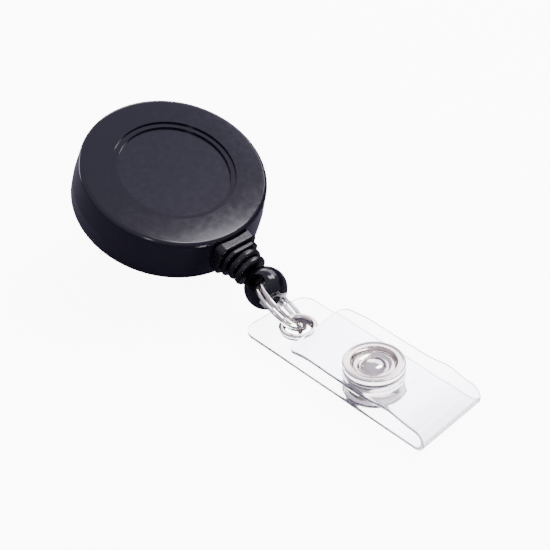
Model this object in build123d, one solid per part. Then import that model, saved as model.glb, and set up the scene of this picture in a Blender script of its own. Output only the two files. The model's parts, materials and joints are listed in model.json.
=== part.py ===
from build123d import *
import math
import os

# Retractable badge reel: a round spring reel with a ball-ended cord, a split ring, a clear vinyl
# strap with a press snap, and a swivelling spring clip behind the case. Millimetres.
#
# The reel lies as it rests on a table. The table is z = 0. The case stands nose down on its clip,
# and the strap lies along +X. Case pieces are drawn upright in the case's own axes: its centre line
# is z, its back is z = 0 and the cord leaves along +x. Strap pieces are drawn in the strap's own
# axes: the eyelet is the origin, the underside is z = 0 and the fold is at the +x end.

# Case
CASE_RADIUS = 16.0
RIM_LEAN = 0.4
CASE_HEIGHT = 8.4
DOME_RISE = 0.25
CASE_WALL = 1.2
FLOOR_WALL = 1.55
PARTING_HEIGHT = 3.5
LIP_HEIGHT = 0.8
LIP_THICKNESS = 0.55
RIM_ROUND = 0.7
BACK_ROUND = 0.6
RECESS_RADIUS = 10.3
RECESS_STEP = 0.9
RECESS_DEPTH = 0.55
CASE_PITCH = 24.6
BALL_STANDOFF = 2.528

# Reel inside the case
POST_RADIUS = 2.2
POST_SLOT = 0.6
POST_SOCKET = 0.5
SOCKET_DEPTH = 0.3
SLOT_START = 2.0
SPOOL_CLEARANCE = 0.06
SPOOL_AIR = 0.25
DRUM_RADIUS = 7.4
DRUM_WALL = 0.8
FLANGE_RADIUS = 13.4
FLANGE_THICKNESS = 0.5
CORD_DIAMETER = 0.8
CORD_LAYERS = 5
TURN_GAP = 0.03
SPRING_STRIP = 0.22
SPRING_TURNS = 7
SPRING_WIDTH = 2.6
SPRING_END_GAP = 0.35
SPRING_STEPS = 12
LEAD_CORNER = 0.4
LEAD_BEND = 2.0

# Nozzle, ball and cord end
CORD_LEVEL = 5.0
NOZZLE_BORE = 0.75
NOZZLE_FLARE = 0.75
NOZZLE_WIDTH = 7.4
NOZZLE_HEIGHT = 6.2
NOZZLE_LENGTH = 5.1
NOZZLE_NECK_WIDTH = 5.4
NOZZLE_NECK_HEIGHT = 3.4
NECK_CLEARANCE = 0.05
NOZZLE_SEAT = 0.1
COLLAR_LENGTH = 1.35
COLLAR_ROUND = 1.2
COLLAR_FACE_ROUND = 0.35
PLATE_START = 1.65
PLATE_LENGTH = 0.8
PLATE_INSET = 0.35
PLATE_TRIM = 0.2
PLATE_ROUND = 1.9
PLATE_FACE_ROUND = 0.25
STEM_RADIUS = 2.2
RIB_ONE_RADIUS = 3.15
RIB_ONE_AT = 3.3
RIB_ONE_WIDTH = 1.3
RIB_TWO_RADIUS = 2.95
RIB_TWO_AT = 4.75
RIB_TWO_WIDTH = 1.2
RIB_ROUND = 0.45
BALL_RADIUS = 3.5
BALL_GAP = 0.22
RING_HOLE_SHARE = 0.43
KNOT_RADIUS = 0.8
PLUG_RADIUS = 1.15
PLUG_PROUD = 0.12
PLUG_DEPTH = 1.1
KNOT_POCKET = 0.55
KNOT_CLEARANCE = 0.12
CORD_BITE = 0.7
FACE_GAP = 0.02

# Split ring
RING_OVER_BALL = 1.4
RING_WIRE = 0.36
RING_COIL_GAP = 0.2
RING_REST = 0.5
RING_SEAT = 0.733
LINK_YAW = -8.0
RING_LEAN = 41.0
LINK_SHIFT_X = -0.58
LINK_SHIFT_Y = 0.55

# Strap and eyelet
STRAP_WIDTH = 13.4
STRAP_THICKNESS = 0.6
STRAP_TAIL = 6.0
STRAP_REACH = 31.9
STRAP_CORNER = 2.6
FLAP_CORNER = 2.0
FOLD_GAP = 0.3
STRAP_TILT = 2.5
LAYER_GAP = 2.4
EYELET_HOLE = 2.15
EYELET_RADIUS = 3.1
EYELET_LIP = 0.3
EYELET_WALL = 0.3
EYELET_EDGE_GAP = 0.25

# Press snap
SNAP_X = 17.6
SNAP_Y = -0.8
SNAP_RADIUS = 4.75
SNAP_HOLE = 3.45
SNAP_CAP = 1.0
SNAP_BASE = 1.2
BASE_BORE = 2.8
BASE_ROUND = 0.45
STUD_PLATE_INSET = 0.5
STUD_PLATE = 0.5
STUD_TOP_GAP = 0.1
STUD_ROUND = 0.5
POST_FOOT = 0.3
SOCKET_ROUND = 0.5
DOME_ROOT = 0.4
DOME_PROUD = 0.85
DOME_ROUND = 0.8
CAP_ROUND = 0.4
STUD_RADIUS = 1.9
DOME_RADIUS = 2.1
DOME_EASE = 0.35
SNAP_CLEARANCE = 0.15

# Swivel clip behind the case
CLIP_WIDTH = 9.0
CLIP_PLATE = 0.8
CLIP_STANDOFF = 0.7
CLIP_REAR = -9.0
CLIP_FRONT = 12.2
PIVOT_X = 4.5
PIVOT_DROP = 5.0
PIN_RADIUS = 0.75
PIN_CLEARANCE = 0.06
EAR_RADIUS = 1.9
LEVER_SLOPE = 48.0
CURL_RADIUS = 1.1
RIVET_RADIUS = 1.2
RIVET_HEAD = 2.4
RIVET_HEAD_HEIGHT = 0.6
RIVET_HEAD_ROUND = 0.4
RIVET_HEAD_GAP = 0.08
RIVET_DEPTH = 2.6
WASHER_REACH = 1.2
WASHER_GAP = 0.05
JAW_MEET = -3.4
JAW_GAP = 0.08
EAR_INSET = 0.1
NOSE_LENGTH = 3.4
NOSE_LAP = 0.2
BELLY_REAR = 0.9
BELLY_FRONT = 1.4
WEB_HALF = 1.2
LEVER_TRIM = 0.6
PIN_HEAD = 0.3
PIN_ROUND = 0.25
COIL_WIRE = 0.28
COIL_TURNS = 6
COIL_CLEARANCE = 0.15
COIL_PITCH = 0.6

# Reach of a cutting shape past the face that it cuts
CUT_MARGIN = 1.0

# Worked-out values
RIM_RADIUS = CASE_RADIUS - RIM_LEAN
INNER_RADIUS = CASE_RADIUS - CASE_WALL
CEILING = CASE_HEIGHT - RECESS_DEPTH - FLOOR_WALL
SPOOL_BOTTOM = FLOOR_WALL + SPOOL_AIR
SPOOL_TOP = CEILING - SPOOL_AIR
NOZZLE_END = CASE_RADIUS + NOZZLE_LENGTH
BALL_X = NOZZLE_END + BALL_GAP + BALL_RADIUS
# The ball is held just off the table, so it sets how high the case's back is. Its ring goes round it.
PITCH = math.radians(CASE_PITCH)
CASE_LIFT = BALL_STANDOFF + BALL_RADIUS - CORD_LEVEL * math.cos(PITCH) + BALL_X * math.sin(PITCH)
RING_HOLE_RADIUS = BALL_RADIUS * RING_HOLE_SHARE
RING_RADIUS = BALL_RADIUS + RING_OVER_BALL
STUD_HEIGHT = LAYER_GAP - DOME_ROOT - STUD_TOP_GAP
INNER_NOTCH = DRUM_RADIUS - DRUM_WALL - NOZZLE_SEAT
CLIP_TOP = -CLIP_STANDOFF
PIVOT_Z = -PIVOT_DROP
# The fold is a half loop between the two layers. Levels are in the strap's own axes.
LOOP_RADIUS = (LAYER_GAP + STRAP_THICKNESS) / 2
LOOP_X = STRAP_REACH - LOOP_RADIUS - STRAP_THICKNESS / 2
LOOP_Z = STRAP_THICKNESS / 2 + LOOP_RADIUS
UPPER_Z = STRAP_THICKNESS + LAYER_GAP
FLAP_START = EYELET_RADIUS + EYELET_EDGE_GAP


def turned(direction, angle):
    """Turns a direction in the XZ plane about Y by an angle in degrees, nose down."""
    a = math.radians(angle)
    x = direction[0] * math.cos(a) + direction[2] * math.sin(a)
    z = direction[2] * math.cos(a) - direction[0] * math.sin(a)
    return Vector(x, direction[1], z)


def case_point(x, y, z):
    """A point of the case's own axes, on the table."""
    return turned((x, y, z), CASE_PITCH) + Vector(0, 0, CASE_LIFT)


# The strap lies on the foot of its snap.
TILT = math.radians(STRAP_TILT)
SNAP_LIFT = SNAP_BASE * math.cos(TILT) + SNAP_RADIUS * math.sin(TILT)
STRAP_LIFT = SNAP_LIFT + SNAP_X * math.tan(TILT)

# The link between ball and strap: one way along the ring, one across it.
BALL_CENTRE = case_point(BALL_X, 0, CORD_LEVEL)
LINK_LENGTH = 2 * RING_RADIUS - RING_REST
DROP = math.asin((BALL_CENTRE.Z - STRAP_LIFT - RING_SEAT) / LINK_LENGTH)
YAW = math.radians(LINK_YAW)
LEAN = math.radians(RING_LEAN)
LINK_WAY = Vector(math.cos(DROP) * math.cos(YAW), math.cos(DROP) * math.sin(YAW), -math.sin(DROP))
LEVEL_WAY = Vector(math.sin(YAW), -math.cos(YAW), 0)
UP_WAY = LEVEL_WAY.cross(LINK_WAY)
ACROSS_WAY = UP_WAY * math.cos(LEAN) + LEVEL_WAY * math.sin(LEAN)
RING_NORMAL = LINK_WAY.cross(ACROSS_WAY)
RING_CENTRE = BALL_CENTRE + LINK_WAY * (RING_RADIUS - RING_REST)
# The wire crosses the eyelet aslant, so the eyelet's middle stands off from the ring's end.
EYELET_POINT = RING_CENTRE + LINK_WAY * RING_RADIUS + Vector(LINK_SHIFT_X, LINK_SHIFT_Y, 0)

# Everything moves along X so that the middle of the outline is at x = 0.
REAR_X = case_point(-CASE_RADIUS, 0, BACK_ROUND).X
FRONT_X = EYELET_POINT.X + STRAP_REACH * math.cos(TILT)
MIDDLE = Location((-(REAR_X + FRONT_X) / 2, 0, 0))
CASE_PLACE = MIDDLE * Location((0, 0, CASE_LIFT)) * Rotation(0, CASE_PITCH, 0)
STRAP_PLACE = MIDDLE * Location((EYELET_POINT.X, EYELET_POINT.Y, STRAP_LIFT)) * Rotation(0, STRAP_TILT, 0)
RING_PLACE = MIDDLE * Plane(origin=RING_CENTRE, x_dir=LINK_WAY, z_dir=RING_NORMAL).location
HOLE_PLACE = MIDDLE * Plane(origin=BALL_CENTRE, x_dir=LINK_WAY, z_dir=ACROSS_WAY).location


def disc(radius, low, high):
    """An upright cylinder between two heights."""
    return Pos(0, 0, low) * Cylinder(radius, high - low, align=(Align.CENTER, Align.CENTER, Align.MIN))


def tube(outer, inner, low, high):
    """An upright ring with a square section."""
    return disc(outer, low, high) - disc(inner, low - CUT_MARGIN, high + CUT_MARGIN)


def slab(x_low, x_high, width, low, high):
    """A flat block centred on y = 0."""
    length = x_high - x_low
    block = Box(length, width, high - low, align=(Align.MIN, Align.CENTER, Align.MIN))
    return Pos(x_low, 0, low) * block


def along_x(radius, x_low, x_high, level):
    """A cylinder that lies along x at a height."""
    rod = Cylinder(radius, x_high - x_low, align=(Align.CENTER, Align.CENTER, Align.MIN))
    return Pos(x_low, 0, level) * Rotation(0, 90, 0) * rod


def across_y(radius, width, x, z):
    """A cylinder that lies across the clip, centred on y = 0."""
    return Pos(x, 0, z) * Rotation(90, 0, 0) * Cylinder(radius, width)


# ---- Case ----

def front_outline():
    """The front cover's outer shape: a side that leans in, a rounded rim and a slight dome."""
    rim_top = CASE_HEIGHT
    side = Line((CASE_RADIUS, PARTING_HEIGHT), (RIM_RADIUS, rim_top - RIM_ROUND))
    rim_end = (RIM_RADIUS - RIM_ROUND, rim_top)
    rim = TangentArc(side @ 1, rim_end, tangent=side % 1)
    crown = ThreePointArc(rim_end, (rim_end[0] / 2, rim_top + DOME_RISE * 0.75), (0, rim_top + DOME_RISE))
    axis_line = Line((0, rim_top + DOME_RISE), (0, PARTING_HEIGHT))
    base = Line((0, PARTING_HEIGHT), (CASE_RADIUS, PARTING_HEIGHT))
    return make_face([side, rim, crown, axis_line, base])


def make_front_cover():
    body = revolve(Plane.XZ * front_outline(), Axis.Z)
    body -= disc(INNER_RADIUS, PARTING_HEIGHT - CUT_MARGIN, CEILING)
    recess_floor = CASE_HEIGHT - RECESS_DEPTH
    step_level = CASE_HEIGHT - RECESS_DEPTH / 3
    top = CASE_HEIGHT + DOME_RISE + CUT_MARGIN
    body -= disc(RECESS_RADIUS - RECESS_STEP, recess_floor, top)
    body -= disc(RECESS_RADIUS, step_level, top)
    lip_seat = INNER_RADIUS + LIP_THICKNESS + SPOOL_CLEARANCE
    lip_top = PARTING_HEIGHT + LIP_HEIGHT + SPOOL_CLEARANCE
    body -= disc(lip_seat, PARTING_HEIGHT - CUT_MARGIN, lip_top)
    seat_low = CEILING - SPOOL_AIR + WASHER_GAP
    seat = disc(POST_RADIUS + CASE_WALL, seat_low, CEILING + SOCKET_DEPTH)
    body += seat - disc(POST_RADIUS - POST_SOCKET, seat_low - CUT_MARGIN, CEILING + SOCKET_DEPTH)
    body -= nozzle_window()
    return body


def nozzle_window():
    """The opening that both covers leave for the nozzle's neck."""
    neck = slab(INNER_RADIUS - CUT_MARGIN, CASE_RADIUS + CUT_MARGIN, NOZZLE_NECK_WIDTH, 0, NOZZLE_NECK_HEIGHT)
    return Pos(0, 0, CORD_LEVEL - NOZZLE_NECK_HEIGHT / 2) * neck


def make_rear_cover():
    body = disc(CASE_RADIUS, 0, PARTING_HEIGHT)
    body = fillet(body.edges().group_by(Axis.Z)[0], BACK_ROUND)
    body -= disc(INNER_RADIUS, FLOOR_WALL, PARTING_HEIGHT + CUT_MARGIN)
    lip_top = PARTING_HEIGHT + LIP_HEIGHT
    body += tube(INNER_RADIUS + LIP_THICKNESS, INNER_RADIUS, FLOOR_WALL, lip_top)
    post = disc(POST_RADIUS, FLOOR_WALL, SPOOL_TOP - SPOOL_AIR)
    post -= slab(-POST_SLOT / 2, POST_RADIUS + CUT_MARGIN, POST_SLOT, FLOOR_WALL + SLOT_START, CEILING)
    body += post
    body -= disc(RIVET_RADIUS, -CUT_MARGIN, RIVET_DEPTH)
    body -= nozzle_window()
    return body


def rib(radius, x, thickness):
    """One rounded rib of the nozzle, as a short barrel along x."""
    edge = thickness * RIB_ROUND
    ring = along_x(radius, x - thickness / 2, x + thickness / 2, CORD_LEVEL)
    return fillet(ring.edges(), edge)


def nozzle_neck():
    """The neck that the two covers hold between them."""
    width = NOZZLE_NECK_WIDTH - 2 * NECK_CLEARANCE
    height = NOZZLE_NECK_HEIGHT - 2 * NECK_CLEARANCE
    neck = slab(INNER_RADIUS + NOZZLE_SEAT, CASE_RADIUS + 3 * NOZZLE_SEAT, width, 0, height)
    return Pos(0, 0, CORD_LEVEL - height / 2) * neck


def nozzle_collar(low, high):
    """The thick plate that hugs the case's side."""
    block = slab(CASE_RADIUS - COLLAR_LENGTH / 2, CASE_RADIUS + COLLAR_LENGTH, NOZZLE_WIDTH, low, high)
    block = fillet(block.edges().filter_by(Axis.X), COLLAR_ROUND)
    block = fillet(block.edges().group_by(Axis.X)[-1], COLLAR_FACE_ROUND)
    return block - disc(CASE_RADIUS + NECK_CLEARANCE, -CUT_MARGIN, CASE_HEIGHT + CUT_MARGIN)


def nozzle_plate(low, high):
    """The thinner plate in front of the collar."""
    front = CASE_RADIUS + PLATE_START
    width = NOZZLE_WIDTH - 2 * PLATE_INSET
    plate = slab(front, front + PLATE_LENGTH, width, low + PLATE_TRIM, high - PLATE_TRIM)
    plate = fillet(plate.edges().filter_by(Axis.X), PLATE_ROUND)
    faces = plate.edges().group_by(Axis.X)
    return fillet(faces[0] + faces[-1], PLATE_FACE_ROUND)


def make_cord_nozzle():
    low = CORD_LEVEL - NOZZLE_HEIGHT / 2
    high = low + NOZZLE_HEIGHT
    body = nozzle_neck() + nozzle_collar(low, high) + nozzle_plate(low, high)
    body += along_x(STEM_RADIUS, CASE_RADIUS, NOZZLE_END, CORD_LEVEL)
    body += rib(RIB_ONE_RADIUS, CASE_RADIUS + RIB_ONE_AT, RIB_ONE_WIDTH)
    body += rib(RIB_TWO_RADIUS, CASE_RADIUS + RIB_TWO_AT, RIB_TWO_WIDTH)
    body -= along_x(NOZZLE_BORE, INNER_RADIUS - CUT_MARGIN, NOZZLE_END + CUT_MARGIN, CORD_LEVEL)
    mouth = NOZZLE_BORE + NOZZLE_FLARE
    flare = Cone(mouth, NOZZLE_BORE, 2 * NOZZLE_FLARE, align=(Align.CENTER, Align.CENTER, Align.MIN))
    body -= Pos(INNER_RADIUS, 0, CORD_LEVEL) * Rotation(0, 90, 0) * flare
    return body


# ---- Reel ----

def make_spool():
    bore = POST_RADIUS + SPOOL_CLEARANCE
    body = tube(FLANGE_RADIUS, bore, SPOOL_BOTTOM, SPOOL_BOTTOM + FLANGE_THICKNESS)
    body += tube(DRUM_RADIUS, DRUM_RADIUS - DRUM_WALL, SPOOL_BOTTOM, SPOOL_TOP)
    body += tube(FLANGE_RADIUS, DRUM_RADIUS - DRUM_WALL, SPOOL_TOP - FLANGE_THICKNESS, SPOOL_TOP)
    notch_end = DRUM_RADIUS - SPRING_END_GAP
    notch_low = SPOOL_BOTTOM + 2 * FLANGE_THICKNESS
    notch_high = SPOOL_TOP - 2 * FLANGE_THICKNESS
    notch = slab(INNER_NOTCH, notch_end, FLANGE_THICKNESS, notch_low, notch_high)
    return body - notch


def turns_across():
    """How many turns lie side by side between the flanges."""
    room = SPOOL_TOP - SPOOL_BOTTOM - 2 * FLANGE_THICKNESS
    return int(room / (CORD_DIAMETER + TURN_GAP))


def winding_radius(layer):
    """The radius of a layer's cord centre."""
    return DRUM_RADIUS + TURN_GAP + (CORD_DIAMETER + TURN_GAP) * (layer + 0.5)


def make_cord_winding():
    pitch = CORD_DIAMETER + TURN_GAP
    across = turns_across()
    middle = (SPOOL_BOTTOM + SPOOL_TOP) / 2
    turns = []
    for layer in range(CORD_LAYERS):
        for row in range(across):
            height = middle + (row - (across - 1) / 2) * pitch
            turns.append(Pos(0, 0, height) * Torus(winding_radius(layer), CORD_DIAMETER / 2))
    return Compound(children=turns)


def make_power_spring():
    """A flat spiral strip from the post's slot to the drum's wall."""
    start = POST_RADIUS + SPRING_END_GAP
    end = DRUM_RADIUS - DRUM_WALL - SPRING_END_GAP
    steps = SPRING_TURNS * SPRING_STEPS
    points = []
    for i in range(steps + 1):
        angle = 2 * math.pi * SPRING_TURNS * i / steps
        radius = start + (end - start) * i / steps
        points.append((radius * math.cos(angle), radius * math.sin(angle)))
    edge_in = Spline(*offset_spiral(points, -SPRING_STRIP / 2))
    edge_out = Spline(*offset_spiral(points, SPRING_STRIP / 2))
    caps = [Line(edge_in @ 0, edge_out @ 0), Line(edge_in @ 1, edge_out @ 1)]
    face = make_face([edge_in, edge_out] + caps)
    low = (SPOOL_BOTTOM + FLANGE_THICKNESS + SPOOL_TOP - SPRING_WIDTH) / 2
    return Pos(0, 0, low) * extrude(face, SPRING_WIDTH)


def offset_spiral(points, distance):
    """The spiral moved outwards by a distance."""
    moved = []
    for x, y in points:
        radius = math.hypot(x, y)
        scale = (radius + distance) / radius
        moved.append((x * scale, y * scale))
    return moved


def make_cord_lead():
    """The cord from the winding's outer layer, round the nozzle's inner edge, to the nozzle's mouth."""
    leave = winding_radius(CORD_LAYERS - 1) + CORD_DIAMETER + TURN_GAP
    corner_x = INNER_RADIUS + LEAD_CORNER
    angle = math.acos(leave / corner_x)
    start = (leave * math.cos(angle), -leave * math.sin(angle))
    end = (NOZZLE_END - NECK_CLEARANCE, 0)
    path = FilletPolyline(start, (corner_x, 0), end, radius=LEAD_BEND)
    section = Plane(origin=path @ 0, z_dir=path % 0) * Circle(CORD_DIAMETER / 2)
    return Pos(0, 0, CORD_LEVEL) * sweep(section, path=path)


# ---- Ball ----

def make_end_ball():
    back = BALL_X - BALL_RADIUS
    front = BALL_X + BALL_RADIUS
    ball = Pos(BALL_X, 0, CORD_LEVEL) * Sphere(BALL_RADIUS)
    ball -= along_x(CORD_DIAMETER / 2 + SPOOL_CLEARANCE, back - CUT_MARGIN, BALL_X, CORD_LEVEL)
    ball -= along_x(KNOT_RADIUS + KNOT_CLEARANCE, back + KNOT_POCKET, BALL_X, CORD_LEVEL)
    ball -= along_x(PLUG_RADIUS, front - PLUG_DEPTH, front + CUT_MARGIN, CORD_LEVEL)
    placed = CASE_PLACE * ball
    return placed - HOLE_PLACE * Cylinder(RING_HOLE_RADIUS, 3 * BALL_RADIUS)


def make_ball_plug():
    front = BALL_X + BALL_RADIUS
    plug = along_x(PLUG_RADIUS, front - PLUG_DEPTH, front + PLUG_PROUD, CORD_LEVEL)
    return CASE_PLACE * fillet(plug.edges().group_by(Axis.X)[-1], PLUG_PROUD * 0.8)


def make_cord_tail():
    end = BALL_X - BALL_RADIUS + CORD_BITE
    return CASE_PLACE * along_x(CORD_DIAMETER / 2, NOZZLE_END + FACE_GAP, end, CORD_LEVEL)


def make_cord_knot():
    """A ball of cord with one turn round it, aslant, just past the end of the tail."""
    centre = BALL_X - BALL_RADIUS + CORD_BITE - NECK_CLEARANCE + KNOT_RADIUS
    core = Sphere(KNOT_RADIUS * 0.85)
    wrap = Torus(KNOT_RADIUS * 0.55, KNOT_RADIUS * 0.45)
    return CASE_PLACE * Pos(centre, 0, CORD_LEVEL) * Rotation(0, 70, 0) * (core + wrap)


# ---- Ring ----

def make_split_ring():
    """Two flat coils side by side, joined where the wire steps from one to the other."""
    step = RING_WIRE + RING_COIL_GAP / 2
    coil = Torus(RING_RADIUS, RING_WIRE)
    ring = Pos(0, 0, step) * coil + Pos(0, 0, -step) * coil
    bridge_at = Rotation(0, 0, -100) * Pos(RING_RADIUS, 0, 0)
    ring += bridge_at * Cylinder(RING_WIRE * 0.9, 2 * step)
    return RING_PLACE * ring


# ---- Strap ----

def strap_plate(x_low, low, corner):
    """A flat vinyl layer from its rounded low-x end to the start of the fold."""
    plate = slab(x_low, LOOP_X, STRAP_WIDTH, low, low + STRAP_THICKNESS)
    ends = plate.edges().filter_by(Axis.Z).group_by(Axis.X)[0]
    return fillet(ends, corner)


def fold_quarter(low, high):
    """The part of the fold between two heights, which bends from one layer to the other."""
    ring = tube(LOOP_RADIUS + STRAP_THICKNESS / 2, LOOP_RADIUS - STRAP_THICKNESS / 2, 0, STRAP_WIDTH)
    ring = Pos(LOOP_X, STRAP_WIDTH / 2, LOOP_Z) * Rotation(90, 0, 0) * ring
    return ring & slab(LOOP_X, STRAP_REACH + CUT_MARGIN, STRAP_WIDTH + CUT_MARGIN, low, high)


def make_strap_lower():
    body = strap_plate(-STRAP_TAIL, 0, STRAP_CORNER) + fold_quarter(-CUT_MARGIN, LOOP_Z - FOLD_GAP / 2)
    body -= disc(EYELET_HOLE + EYELET_WALL, -CUT_MARGIN, STRAP_THICKNESS + CUT_MARGIN)
    body -= Pos(SNAP_X, SNAP_Y, 0) * disc(STUD_RADIUS, -CUT_MARGIN, STRAP_THICKNESS + CUT_MARGIN)
    return STRAP_PLACE * body


def make_strap_upper():
    top = UPPER_Z + STRAP_THICKNESS + CUT_MARGIN
    body = strap_plate(FLAP_START, UPPER_Z, FLAP_CORNER) + fold_quarter(LOOP_Z + FOLD_GAP / 2, top)
    body -= Pos(SNAP_X, SNAP_Y, 0) * disc(DOME_RADIUS + DOME_EASE, UPPER_Z - CUT_MARGIN, top)
    return STRAP_PLACE * body


def make_eyelet():
    """The flanged barrel, with a rolled top lip."""
    top = STRAP_THICKNESS
    body = tube(EYELET_RADIUS, EYELET_HOLE, top, top + EYELET_LIP)
    body = fillet(body.edges().group_by(Axis.Z)[-1], EYELET_LIP * RIB_ROUND)
    body += tube(EYELET_HOLE + EYELET_WALL, EYELET_HOLE, -EYELET_LIP, top)
    return STRAP_PLACE * body


def make_eyelet_washer():
    inner = EYELET_HOLE + EYELET_WALL
    return STRAP_PLACE * tube(EYELET_RADIUS - PLATE_TRIM, inner, -EYELET_LIP, 0)


def snap_at(shape):
    """Moves a shape drawn about its own centre line to the snap."""
    return STRAP_PLACE * Pos(SNAP_X, SNAP_Y, 0) * shape


def make_snap_base():
    """The prong ring under the lower layer."""
    body = tube(SNAP_RADIUS, BASE_BORE, -SNAP_BASE, 0)
    return snap_at(fillet(body.edges().group_by(Axis.Z)[0], BASE_ROUND))


def make_snap_stud():
    """The plate on the lower layer, with its head above and its post through the layer."""
    low = STRAP_THICKNESS
    body = disc(SNAP_RADIUS - STUD_PLATE_INSET, low, low + STUD_PLATE)
    body += disc(STUD_RADIUS - SNAP_CLEARANCE, low, low + STUD_HEIGHT)
    body += disc(STUD_RADIUS, -SNAP_BASE + POST_FOOT, low)
    return snap_at(fillet(body.edges().group_by(Axis.Z)[-1], STUD_ROUND))


def make_snap_socket():
    """The cup under the flap, with its dome standing through the flap."""
    low = STRAP_THICKNESS + STUD_PLATE + SNAP_CLEARANCE
    body = tube(SNAP_RADIUS, STUD_RADIUS + SNAP_CLEARANCE, low, UPPER_Z)
    body = fillet(body.edges().group_by(Axis.Z)[0].group_by(SortBy.LENGTH)[-1], SOCKET_ROUND)
    body += disc(DOME_RADIUS, UPPER_Z - DOME_ROOT, UPPER_Z + STRAP_THICKNESS + DOME_PROUD)
    return snap_at(fillet(body.edges().group_by(Axis.Z)[-1], DOME_ROUND))


def make_snap_ring():
    """The ring on top of the flap, round the dome."""
    low = UPPER_Z + STRAP_THICKNESS
    body = tube(SNAP_RADIUS, SNAP_HOLE, low, low + SNAP_CAP)
    return snap_at(fillet(body.edges().group_by(Axis.Z)[-1], CAP_ROUND))


# ---- Clip ----

def make_clip_washer():
    """The flat washer between the clip and the case."""
    return tube(RIVET_HEAD + WASHER_REACH, RIVET_RADIUS + PIN_CLEARANCE, CLIP_TOP + WASHER_GAP, -FACE_GAP)


def ear(inner_half, thickness):
    """A pair of ears, one each side of the clip, with the pin's hole."""
    pair = []
    for side in (-1, 1):
        plate = Pos(PIVOT_X, side * (inner_half + thickness / 2), PIVOT_Z) * Rotation(90, 0, 0)
        pair.append(plate * Cylinder(EAR_RADIUS, thickness))
    return pair


def make_clip_plate():
    """The clip's upper half: a plate with two ears and a nose that slopes down to the jaw."""
    low = CLIP_TOP - CLIP_PLATE
    body = slab(CLIP_REAR, CLIP_FRONT - NOSE_LENGTH, CLIP_WIDTH, low, CLIP_TOP)
    half = CLIP_WIDTH / 2
    for side in (-1, 1):
        wall = slab(PIVOT_X - EAR_RADIUS, PIVOT_X + EAR_RADIUS, CLIP_PLATE, PIVOT_Z, CLIP_TOP)
        body += Pos(0, side * (half - CLIP_PLATE / 2), 0) * wall
    for piece in ear(half - CLIP_PLATE, CLIP_PLATE):
        body += piece
    nose_start = CLIP_FRONT - NOSE_LENGTH - NOSE_LAP
    body += sloped_plate(nose_start, low + CLIP_PLATE / 2, CLIP_FRONT, JAW_MEET + CLIP_PLATE / 2 + JAW_GAP)
    body -= across_y(PIN_RADIUS, CLIP_WIDTH + CUT_MARGIN, PIVOT_X, PIVOT_Z)
    body -= disc(RIVET_RADIUS + PIN_CLEARANCE, low - CUT_MARGIN, CLIP_TOP + CUT_MARGIN)
    return body


def sloped_plate(x_low, z_low, x_high, z_high, width=CLIP_WIDTH, thickness=CLIP_PLATE):
    """A plate of the clip between two points of its mid line, with round ends."""
    length = math.hypot(x_high - x_low, z_high - z_low)
    slope = math.degrees(math.atan2(z_high - z_low, x_high - x_low))
    plate = Box(length, width, thickness)
    middle = Pos((x_low + x_high) / 2, 0, (z_low + z_high) / 2)
    body = middle * Rotation(0, -slope, 0) * plate
    body += across_y(thickness / 2, width, x_low, z_low)
    body += across_y(thickness / 2, width, x_high, z_high)
    return body


def lever_tail():
    """Where the middle of the lever's curl is, so that the curl rests on the table."""
    slope = math.radians(LEVER_SLOPE)
    pivot_height = CASE_LIFT - PIVOT_X * math.sin(PITCH) + PIVOT_Z * math.cos(PITCH)
    length = (pivot_height - CURL_RADIUS) / math.sin(slope - PITCH)
    return PIVOT_X - length * math.cos(slope), PIVOT_Z - length * math.sin(slope)


def make_clip_jaw():
    """The clip's lower half: a lever with a curled end, a flat belly at the pin, and the jaw."""
    inner = CLIP_WIDTH - 2 * CLIP_PLATE - 2 * EAR_INSET
    lever_width = CLIP_WIDTH - LEVER_TRIM
    tail_x, tail_z = lever_tail()
    back_x = PIVOT_X - BELLY_REAR
    front_x = PIVOT_X + BELLY_FRONT
    belly = PIVOT_Z - EAR_RADIUS - CLIP_PLATE / 2 - EAR_INSET
    low_jaw = JAW_MEET - CLIP_PLATE / 2 - JAW_GAP
    body = sloped_plate(tail_x, tail_z, back_x, belly, width=lever_width)
    body += sloped_plate(back_x, belly, front_x, belly, width=inner)
    body += sloped_plate(front_x, belly, CLIP_FRONT, low_jaw, width=inner)
    body += across_y(CURL_RADIUS, lever_width, tail_x, tail_z)
    for piece in ear(inner / 2 - CLIP_PLATE, CLIP_PLATE):
        body += piece
    for side in (-1, 1):
        wall = slab(PIVOT_X - WEB_HALF, PIVOT_X + WEB_HALF, CLIP_PLATE, belly, PIVOT_Z)
        body += Pos(0, side * (inner / 2 - CLIP_PLATE / 2), 0) * wall
    return body - across_y(PIN_RADIUS + PIN_CLEARANCE, CLIP_WIDTH + CUT_MARGIN, PIVOT_X, PIVOT_Z)


def make_clip_pin():
    """The pin through both pairs of ears."""
    body = across_y(PIN_RADIUS, CLIP_WIDTH + 2 * PIN_HEAD, PIVOT_X, PIVOT_Z)
    return fillet(body.edges().filter_by(GeomType.CIRCLE), PIN_ROUND)


def make_clip_spring():
    """The torsion coil round the pin."""
    coil_radius = PIN_RADIUS + COIL_CLEARANCE + COIL_WIRE
    turns = []
    for i in range(COIL_TURNS):
        y = (i - (COIL_TURNS - 1) / 2) * COIL_PITCH
        turns.append(Pos(PIVOT_X, y, PIVOT_Z) * Rotation(90, 0, 0) * Torus(coil_radius, COIL_WIRE))
    return Compound(children=turns)


def make_clip_rivet():
    """The rivet that the clip turns on. Its post stands in the case's back."""
    head_top = CLIP_TOP - CLIP_PLATE - RIVET_HEAD_GAP
    body = disc(RIVET_RADIUS, head_top - NECK_CLEARANCE, RIVET_DEPTH - NECK_CLEARANCE)
    head = disc(RIVET_HEAD, head_top - RIVET_HEAD_HEIGHT, head_top)
    head = fillet(head.edges().group_by(Axis.Z)[0], RIVET_HEAD_ROUND)
    return body + head


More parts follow.
